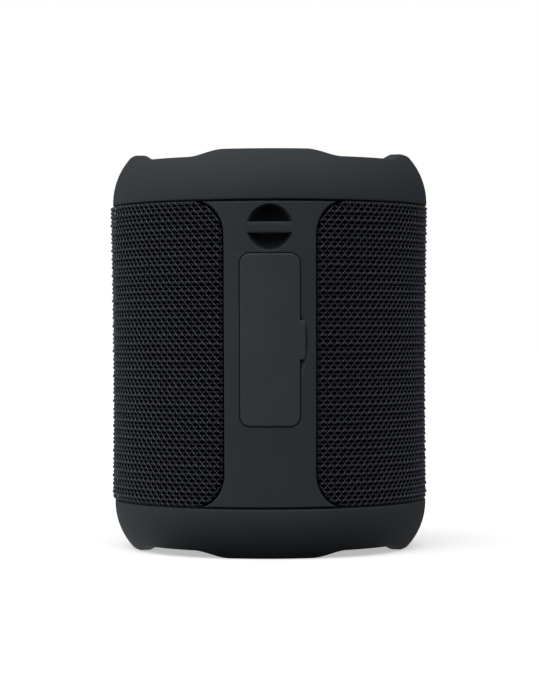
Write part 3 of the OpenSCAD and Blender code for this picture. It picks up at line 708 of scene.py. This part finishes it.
def tube(turn, z, r, half_w, half_t, sides):
    """Points, side faces and end faces of a thread that follows a path on the barrel."""
    path = np.stack([r * np.sin(turn), -r * np.cos(turn), z], -1)
    ahead = np.gradient(path, axis=0)
    ahead /= np.linalg.norm(ahead, axis=1)[:, None]
    out = np.stack([np.sin(turn), -np.cos(turn), 0 * turn], -1)
    side = np.cross(ahead, out)
    angle = 2 * np.pi * (np.arange(sides) + 0.5)[:, None] / sides
    thick = half_t[:, None, None] * np.cos(angle) * out[:, None]
    wide = half_w[:, None, None] * np.sin(angle) * side[:, None]
    ring = path[:, None] + thick + wide
    n = len(path)
    faces = grid_faces(n, sides, wrap_columns=True)
    ends = [list(range(sides - 1, -1, -1)), list(range((n - 1) * sides, n * sides))]
    return ring.reshape(-1, 3), faces, ends


def knit_paths():
    """Each thread's path as (turn, z, radial offset, half-width, half-thickness, sides).

    Two families of threads slant opposite ways and cross at the stitches. Each swells and stands proud twice
    in a course, more in one half than in the other, and lies over the other family on its own side of the
    body. Thinner level loops run behind them, three in each course.
    """
    rows = (KNIT_HIGH - KNIT_LOW) / CELL_Z
    t = np.arange(0, rows + 0.01, 0.125)
    z = KNIT_HIGH - t * CELL_Z
    crest = COURSE_CREST * np.cos(2 * np.pi * (t - COURSE_CREST_AT))
    crest += STITCH_CREST * np.cos(4 * np.pi * (t - STITCH_CREST_AT))
    for k in range(AROUND):
        for way in (1, -1):
            turn = (k + way * t) * CELL_S
            slack = SLACK * np.sin(12.9898 * k + 2.3 * np.floor(2 * t) + way)
            over = OVER + way * (OVER_FRONT - OVER_SIDE * np.sin(turn))
            full = THREAD_FULL + over + CREST_FULL * crest + slack * SLACK_FULL
            lift = CREST_LIFT * crest + over + slack
            yield turn, z, lift, THREAD * full, FLATNESS * THREAD * full, 5
    column = np.arange(0, AROUND + 0.01, 0.25)
    for row in range(int(rows) + 1):
        for drop, low, thick, shift in LOOPS:
            z = KNIT_HIGH - (row + drop) * CELL_Z + LOOP_SAG * np.cos(2 * np.pi * (column + shift))
            half = np.full(len(column), thick * THREAD)
            yield column * CELL_S, z, np.full(len(column), low), LOOP_FLATNESS * half, half, 4


def knit():
    """The threads, cut off at the knit's border and gathered into panels round the body.

    Each point keeps how proud of the knit it stands, in millimetres; its colour follows that as painted
    shade.
    """
    panels = [{"points": [], "faces": [], "proud": [], "count": 0} for _ in range(PANELS)]
    for turn, z, lift, half_w, half_t, sides in knit_paths():
        border = knit_border(turn, z)
        inside = border > 0
        sector = np.floor(turn % (2 * np.pi) / (2 * np.pi) * PANELS).astype(int)
        key = np.where(inside, sector, -1)
        cuts = np.flatnonzero(np.diff(key)) + 1
        for first, last in zip([0, *cuts], [*cuts, len(key)]):
            if key[first] < 0 or last - first < 2:
                continue
            joins_next = last < len(key) and inside[last]
            part = slice(first, last + 1 if joins_next else last)
            r = knit_radius(turn[part], z[part], border[part])
            points, faces, ends = tube(
                turn[part], z[part], r + lift[part], half_w[part], half_t[part], sides)
            panel = panels[key[first]]
            start = panel["count"]
            panel["points"].append(points)
            panel["faces"].extend((faces + start).tolist())
            panel["faces"].extend([i + start for i in end] for end in ends)
            panel["proud"].append(np.hypot(points[:, 0], points[:, 1]) - np.repeat(r, sides))
            panel["count"] += len(points)
    for i, panel in enumerate(panels):
        stands_for = ["grille_fabric"] if i == 0 else []
        piece = mesh_piece(f"knit_panel_{i + 1}", np.concatenate(panel["points"]), panel["faces"],
                           "knit_fabric", "speaker_body", stands_for, sharp=80)
        height = piece.data.attributes.new("proud", "FLOAT", "POINT")
        height.data.foreach_set("value", np.concatenate(panel["proud"]))


def knit_backing():
    """Near-black cloth, painted shade behind the open knit, flattened out as (distance round the body,
    height).
    """
    round_body = 2 * np.pi * BODY_R
    low, high = FLARE_LOW + BACKING_GAP, FLARE_HIGH - BACKING_GAP

    def border(z):
        """Distance round the body at which the cloth begins."""
        return np.arcsin((spine_half(z) + BACKING_GAP) / BODY_R) * BODY_R

    def area(s, z):
        begin = border(np.clip(z, FLARE_LOW, FLARE_HIGH))
        return np.minimum(np.minimum(s, round_body - s) - begin, np.minimum(z - low, high - z))

    def at(r):
        return lambda s, z: np.stack([r * np.sin(s / BODY_R), -r * np.cos(s / BODY_R), z], -1)

    z = np.linspace(low, high, 240)
    begin = border(z)
    right, left = np.stack([begin, z], -1), np.stack([round_body - begin, z], -1)
    line = resample(np.concatenate([right, left[::-1]]), 0.8)[::-1]
    skin("knit_backing", [(line, True)], 2.0, area, at(BACKING_OUT), at(BACKING_IN),
         "knit_fabric_back", "speaker_body")


# ---------------------------------------------------------------- finishes

def srgb(r, g, b):
    """Linear colour from 0-255 screen values."""
    c = np.array([r, g, b]) / 255
    return tuple(np.where(c <= 0.04045, c / 12.92, ((c + 0.055) / 1.055) ** 2.4))


# Finishes that share a material slot of the record, and the materials made so far.
SAME_SLOT = {"knit_fabric_back": "knit_fabric"}
finished = {}
RECORD_COLOURS = {m["slot"]: m["base_color"][:3] for m in frame["record"]["materials"]}

# colour: the record's own where it is left out. rough: roughness. gloss: specular level. metal: metallic.
# clear: transmission. pattern: what the grain is drawn with, noise where it is left out.
# grain: depth and size of the surface grain. mottle: strength and size of the colour's drift.
# wear: how much lighter the edges are. recess_shade: painted shade, the colour left down in the strap's bowl.
# shade: painted shade, the colour's strength on the knit's deepest and proudest threads. Sizes are in
# millimetres.
SOFT_TOUCH = dict(rough=0.65, gloss=0.12, grain=(0.010, 0.22), mottle=(0.05, 14), wear=0.12)
METAL = dict(rough=0.32, metal=1.0, grain=(0.004, 0.5), mottle=(0.12, 3), wear=0.3)
FINISHES = {
    "soft_touch_cap": dict(SOFT_TOUCH, colour=srgb(58, 63, 67)),
    "soft_touch_spine": dict(SOFT_TOUCH, colour=srgb(58, 63, 67), recess_shade=0.3),
    "soft_touch_cover": dict(SOFT_TOUCH, colour=srgb(64, 69, 73), rough=0.62, gloss=0.14, wear=0.15),
    "knit_fabric": dict(colour=srgb(89, 93, 101), rough=0.85, gloss=0.05, grain=(0.03, 0.12),
                        mottle=(0.25, 0.5), shade=(0.2, 1.05)),
    # Painted shade: the cloth is near-black so the holes in the knit look dark.
    "knit_fabric_back": dict(colour=srgb(2, 2, 2), rough=0.95, gloss=0.0, grain=(0.03, 0.2),
                             mottle=(0.2, 2)),
    "black_abs": dict(colour=srgb(10, 10, 11), rough=0.6, gloss=0.2, grain=(0.012, 0.3),
                      mottle=(0.12, 6)),
    "panel_plastic": dict(rough=0.55, gloss=0.35, grain=(0.02, 0.25), mottle=(0.06, 10), wear=0.15),
    "silicone_key": dict(rough=0.5, gloss=0.35, grain=(0.008, 0.2), mottle=(0.05, 8), wear=0.35),
    "seal_foam": dict(rough=0.85, gloss=0.2, grain=(0.06, 0.5), mottle=(0.2, 1), pattern="cells"),
    "circuit_board": dict(rough=0.35, grain=(0.03, 1.4), mottle=(0.35, 1.4), pattern="bricks"),
    "plated_metal": METAL,
    "clear_plastic": dict(rough=0.15, clear=0.7, grain=(0.002, 0.5), mottle=(0.04, 2)),
    "black_steel": dict(rough=0.45, grain=(0.012, 0.4), mottle=(0.15, 4), wear=0.3),
    "zinc_steel": METAL,
    "ferrite": dict(rough=0.6, metal=0.3, grain=(0.02, 0.3), mottle=(0.25, 1.5), wear=0.2),
    "amber_film": dict(rough=0.25, grain=(0.004, 0.4), mottle=(0.15, 1.2), pattern="bands"),
    "copper_wire": dict(rough=0.3, metal=0.8, grain=(0.05, 0.25), mottle=(0.3, 0.25), pattern="bands"),
    "black_cone": dict(rough=0.75, gloss=0.25, grain=(0.03, 0.35), mottle=(0.3, 0.8)),
    "surround_rubber": dict(rough=0.42, gloss=0.4, grain=(0.008, 0.25), mottle=(0.08, 5)),
    "spider_cloth": dict(rough=0.8, grain=(0.06, 0.5), mottle=(0.35, 0.5), pattern="weave"),
    "radiator_plastic": dict(rough=0.5, grain=(0.014, 0.3), mottle=(0.1, 5), wear=0.15),
    "cell_sleeve": dict(rough=0.3, grain=(0.006, 2.0), mottle=(0.08, 4)),
    "red_lead": dict(rough=0.4, grain=(0.01, 0.3), mottle=(0.1, 2)),
    "grey_lead": dict(rough=0.4, grain=(0.01, 0.3), mottle=(0.1, 2)),
    "chip_epoxy": dict(rough=0.6, grain=(0.012, 0.15), mottle=(0.15, 0.8)),
    "capacitor_sleeve": dict(rough=0.3, grain=(0.006, 0.8), mottle=(0.08, 2)),
    "ivory_plastic": dict(rough=0.5, grain=(0.012, 0.3), mottle=(0.12, 6)),
    "screw_steel": dict(rough=0.35, metal=0.9, grain=(0.006, 0.3), mottle=(0.15, 1), wear=0.35),
    "damping_foam": dict(rough=0.95, gloss=0.1, grain=(0.3, 0.9), mottle=(0.5, 0.9), pattern="cells"),
}


# Where most of a pattern's values lie, the pointiness from flat to a worn edge, how far threads stand off the
# knit in millimetres, and how far the roughness drifts.
PATTERN_SPAN = (0.3, 0.7)
EDGE_SPAN = (0.51, 0.58)
PROUD_SPAN = (-0.25, 0.25)
ROUGH_DRIFT = 0.06


def texture(tree, coords, pattern, size):
    """A grey pattern of the given size in millimetres. Gives its output socket."""
    scale = 1 / (size * MM)
    if pattern == "cells":
        node = tree.nodes.new("ShaderNodeTexVoronoi")
        node.inputs["Scale"].default_value = scale
        out = node.outputs["Distance"]
    elif pattern == "bricks":
        node = tree.nodes.new("ShaderNodeTexBrick")
        node.inputs["Scale"].default_value = scale / 4
        node.inputs["Color1"].default_value = (0.35, 0.35, 0.35, 1)
        node.inputs["Color2"].default_value = (0.65, 0.65, 0.65, 1)
        node.inputs["Mortar"].default_value = (1, 1, 1, 1)
        out = node.outputs["Fac"]
    elif pattern in ("bands", "weave"):
        waves = []
        for direction in "Y" if pattern == "bands" else "XZ":
            node = tree.nodes.new("ShaderNodeTexWave")
            node.bands_direction = direction
            node.inputs["Scale"].default_value = scale * 0.31
            node.inputs["Distortion"].default_value = 0.4
            tree.links.new(coords, node.inputs["Vector"])
            waves.append(node.outputs["Fac"])
        return waves[0] if pattern == "bands" else math_node(tree, "MULTIPLY", *waves)
    else:
        node = tree.nodes.new("ShaderNodeTexNoise")
        node.inputs["Scale"].default_value = scale
        node.inputs["Detail"].default_value = 3
        out = node.outputs["Fac"]
    tree.links.new(coords, node.inputs["Vector"])
    return out


def math_node(tree, operation, a, b):
    """A sum on two values, each a number or an output socket."""
    node = tree.nodes.new("ShaderNodeMath")
    node.operation = operation
    for socket, value in zip(node.inputs, (a, b)):
        if isinstance(value, bpy.types.NodeSocket):
            tree.links.new(value, socket)
        else:
            socket.default_value = value
    return node.outputs[0]


def span(tree, value, low, high, from_low=0.0, from_high=1.0):
    """Maps a value onto low to high while it goes from from_low to from_high."""
    node = tree.nodes.new("ShaderNodeMapRange")
    tree.links.new(value, node.inputs["Value"])
    ends = {"From Min": from_low, "From Max": from_high, "To Min": low, "To Max": high}
    for name, number in ends.items():
        node.inputs[name].default_value = number
    return node.outputs["Result"]


def bowl_shade_mask(tree, coords):
    """Painted shade's mask: 1 deep in the strap's bowl, 0 on the spine; radius tells the depth, height the
    bowl.
    """
    spot = tree.nodes.new("ShaderNodeSeparateXYZ")
    tree.links.new(coords, spot.inputs[0])
    squares = [math_node(tree, "MULTIPLY", spot.outputs[axis], spot.outputs[axis]) for axis in "XY"]
    radius = math_node(tree, "POWER", math_node(tree, "ADD", *squares), 0.5)
    deep = span(tree, radius, 1, 0, (BODY_R - 1.8) * MM, (BODY_R - 0.6) * MM)
    high = span(tree, spot.outputs["Z"], 0, 1, (STRAP_Z - 8) * MM, (STRAP_Z - 6.5) * MM)
    return math_node(tree, "MULTIPLY", deep, high)


def finish(slot):
    """The procedural material of a slot, made once."""
    if slot in finished:
        return finished[slot]
    look = FINISHES[slot]
    material = finished[slot] = bpy.data.materials.new(slot + "_finish")
    material.use_nodes = True
    tree = material.node_tree
    shader = tree.nodes["Principled BSDF"]
    coords = tree.nodes.new("ShaderNodeTexCoord").outputs["Object"]
    colour = look.get("colour") or RECORD_COLOURS[slot]
    pattern = look.get("pattern")
    depth, size = look["grain"]
    amount, drift = look["mottle"]

    grain = texture(tree, coords, pattern, size)
    tone = span(tree, texture(tree, coords, pattern, drift), 1 - amount, 1 + amount, *PATTERN_SPAN)
    if look.get("wear"):
        pointed = tree.nodes.new("ShaderNodeNewGeometry").outputs["Pointiness"]
        edge = span(tree, pointed, 0, look["wear"], *EDGE_SPAN)
        tone = math_node(tree, "MULTIPLY", tone, math_node(tree, "ADD", edge, 1.0))
    # Painted shade: the knit's deeper threads get a darker colour, the proudest keep about their own.
    if look.get("shade"):
        proud = tree.nodes.new("ShaderNodeAttribute")
        proud.attribute_name = "proud"
        strength = span(tree, proud.outputs["Fac"], *look["shade"], *PROUD_SPAN)
        tone = math_node(tree, "MULTIPLY", tone, strength)
    # Painted shade: the colour is darkened down in the strap's bowl, where shade falls.
    if look.get("recess_shade"):
        strength = span(tree, bowl_shade_mask(tree, coords), 1, look["recess_shade"])
        tone = math_node(tree, "MULTIPLY", tone, strength)
    paint = tree.nodes.new("ShaderNodeVectorMath")
    paint.operation = "SCALE"
    paint.inputs[0].default_value = tuple(colour)
    tree.links.new(tone, paint.inputs["Scale"])
    tree.links.new(paint.outputs[0], shader.inputs["Base Color"])
    rough = span(tree, grain, look["rough"] - ROUGH_DRIFT, look["rough"] + ROUGH_DRIFT)
    tree.links.new(rough, shader.inputs["Roughness"])
    bump = tree.nodes.new("ShaderNodeBump")
    bump.inputs["Distance"].default_value = depth * MM
    tree.links.new(grain, bump.inputs["Height"])
    tree.links.new(bump.outputs["Normal"], shader.inputs["Normal"])
    shader.inputs["Metallic"].default_value = look.get("metal", 0.0)
    shader.inputs["Specular IOR Level"].default_value = look.get("gloss", 0.5)
    shader.inputs["Transmission Weight"].default_value = look.get("clear", 0.0)
    return material


def dress_cad():
    """Gives each CAD node the finish of its slot."""
    slots = {part["node"]: part["material_slot"] for part in frame["record"]["subparts"]}
    for name, node in frame["nodes"].items():
        node.data.materials.clear()
        node.data.materials.append(finish(slots[name]))


# ---------------------------------------------------------------- stage

# The floor as the camera sees it: its own glow and how light it is. BOUNCE: what it sends to other rays in
# front of the object and at its sides, what that is multiplied by on the left and on the right, and the parts
# of the direction from the middle, backwards and to the right, over which each changes.
FLOOR_HALF = 4.0
FLOOR_GLOW = 0.46
FLOOR_TONE = 0.85
BOUNCE_FRONT = 0.0
BOUNCE_SIDE = 0.5
BOUNCE_BACK_SPAN = (-0.85, -0.55)
BOUNCE_LEFT, BOUNCE_RIGHT = 1.1, 0.5
BOUNCE_ACROSS_SPAN = (-0.7, 0.7)

# The sky's strength away from the key, what the key adds, and what is left of both behind the object and
# below. SKY_KEY_FROM: where the key stands, as (right, up, forward) to the camera. The spans are the parts of
# the direction to the sky, forward and up, over which each of these changes.
SKY_BASE = 0.75
SKY_KEY = 1.05
SKY_BEHIND = 0.22
SKY_BEHIND_SPAN = (-0.3, 0.6)
SKY_LOW = 0.1
SKY_LOW_SPAN = (0, 0.48)
SKY_KEY_FROM = (-0.55, 0.6, -0.6)

# The camera, in metres and degrees.
CAMERA_PLACE = (0, -0.625, 0.0579)
CAMERA_DOWN = 4.96
CAMERA_ROLL = 0.0025
CAMERA_LENS = 124
CAMERA_SHIFT = 0.2596
CAMERA_REACH = 0.05


def camera_sees(tree, seen, otherwise):
    """Links a surface or a sky that is one shader to the camera and another to every other ray."""
    mix = tree.nodes.new("ShaderNodeMixShader")
    tree.links.new(tree.nodes.new("ShaderNodeLightPath").outputs["Is Camera Ray"], mix.inputs[0])
    tree.links.new(otherwise.outputs[0], mix.inputs[1])
    tree.links.new(seen.outputs[0], mix.inputs[2])
    out = next(node for node in tree.nodes if node.type.startswith("OUTPUT_"))
    tree.links.new(mix.outputs[0], out.inputs["Surface"])


def floor():
    """White floor to the camera, with a soft contact shadow. It bounces no light in front."""
    mesh = bpy.data.meshes.new("floor")
    corners = [(x * FLOOR_HALF, y * FLOOR_HALF, 0) for x, y in ((-1, -1), (1, -1), (1, 1), (-1, 1))]
    mesh.from_pydata(corners, [], [(0, 1, 2, 3)])
    plane = bpy.data.objects.new("floor", mesh)
    bpy.context.scene.collection.objects.link(plane)
    material = bpy.data.materials.new("floor")
    material.use_nodes = True
    tree = material.node_tree
    tree.nodes.remove(tree.nodes["Principled BSDF"])
    seen = tree.nodes.new("ShaderNodeAddShader")
    matt = tree.nodes.new("ShaderNodeBsdfDiffuse")
    matt.inputs["Color"].default_value = (FLOOR_TONE, FLOOR_TONE, FLOOR_TONE, 1)
    glow = tree.nodes.new("ShaderNodeEmission")
    glow.inputs["Strength"].default_value = FLOOR_GLOW
    tree.links.new(matt.outputs[0], seen.inputs[0])
    tree.links.new(glow.outputs[0], seen.inputs[1])
    way = tree.nodes.new("ShaderNodeVectorMath")
    way.operation = "NORMALIZE"
    tree.links.new(tree.nodes.new("ShaderNodeTexCoord").outputs["Object"], way.inputs[0])
    axes = tree.nodes.new("ShaderNodeSeparateXYZ")
    tree.links.new(way.outputs[0], axes.inputs[0])
    bounce = tree.nodes.new("ShaderNodeEmission")
    back = span(tree, axes.outputs["Y"], BOUNCE_FRONT, BOUNCE_SIDE, *BOUNCE_BACK_SPAN)
    across = span(tree, axes.outputs["X"], BOUNCE_LEFT, BOUNCE_RIGHT, *BOUNCE_ACROSS_SPAN)
    tree.links.new(math_node(tree, "MULTIPLY", back, across), bounce.inputs["Strength"])
    camera_sees(tree, seen, bounce)
    mesh.materials.append(material)
    plane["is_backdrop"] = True


def world():
    """White to the camera. Other rays see a soft studio that turns with the camera.

    It is bright from the camera's upper left, dim from below and from behind the object.
    """
    sky = bpy.data.worlds.new("studio")
    bpy.context.scene.world = sky
    sky.use_nodes = True
    tree = sky.node_tree
    tree.nodes.clear()
    tree.nodes.new("ShaderNodeOutputWorld")
    coords = tree.nodes.new("ShaderNodeTexCoord").outputs["Camera"]
    toward = tree.nodes.new("ShaderNodeVectorMath")
    toward.operation = "DOT_PRODUCT"
    toward.inputs[1].default_value = Vector(SKY_KEY_FROM).normalized()
    tree.links.new(coords, toward.inputs[0])
    dark = -SKY_BASE / SKY_KEY
    glow = span(tree, toward.outputs["Value"], 0, SKY_BASE + SKY_KEY, dark, 1)
    away = tree.nodes.new("ShaderNodeSeparateXYZ")
    tree.links.new(coords, away.inputs[0])
    behind = span(tree, away.outputs["Z"], 1, SKY_BEHIND, *SKY_BEHIND_SPAN)
    below = span(tree, away.outputs["Y"], SKY_LOW, 1, *SKY_LOW_SPAN)
    glow = math_node(tree, "MULTIPLY", glow, behind)
    glow = math_node(tree, "MULTIPLY", glow, below)
    lit, seen = (tree.nodes.new("ShaderNodeBackground") for _ in range(2))
    for shader in (lit, seen):
        shader.inputs["Color"].default_value = (1, 1, 1, 1)
    tree.links.new(glow, lit.inputs["Strength"])
    camera_sees(tree, seen, lit)


def camera():
    """A view camera: it looks 5 degrees down with its lens shifted up while it stands at its own place.

    The shift fades as the camera moves away, so that a view from anywhere else is centred.
    """
    data = bpy.data.cameras.new("camera")
    data.sensor_width = 36
    data.lens = CAMERA_LENS
    data.clip_end = 20
    ob = bpy.data.objects.new("camera", data)
    ob.location = CAMERA_PLACE
    ob.rotation_euler = (math.radians(90 - CAMERA_DOWN), CAMERA_ROLL, 0)
    bpy.context.scene.collection.objects.link(ob)
    bpy.context.scene.camera = ob
    stand = bpy.data.objects.new("camera_place", None)
    stand.location = CAMERA_PLACE
    bpy.context.scene.collection.objects.link(stand)
    curve = data.driver_add("shift_y")
    for modifier in list(curve.modifiers):
        curve.modifiers.remove(modifier)
    curve.driver.type = "SUM"
    moved = curve.driver.variables.new()
    moved.type = "LOC_DIFF"
    moved.targets[0].id = ob
    moved.targets[1].id = stand
    for away, shift in ((0, CAMERA_SHIFT), (CAMERA_REACH, 0)):
        curve.keyframe_points.insert(away, shift).interpolation = "LINEAR"


cap("top_cap", TOP_LOW[2], 1, TOP_TURN)
cap("bottom_cap", BOTTOM_HIGH[2], -1)
seam_gasket("top_seam_gasket", MID_HIGH, TOP_LOW[2])
seam_gasket("bottom_seam_gasket", BOTTOM_HIGH[2], MID_LOW)
rear_spine()
strap_bar()
port_cover()
cover_tether()
knit()
knit_backing()
dress_cad()
floor()
world()
camera()
bpy.context.scene.view_settings.view_transform = "Standard"

sizes = {"cad": cad_bounds, "visual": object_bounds()}
{k: [[float(c) for c in corner] for corner in box] for k, box in sizes.items()}
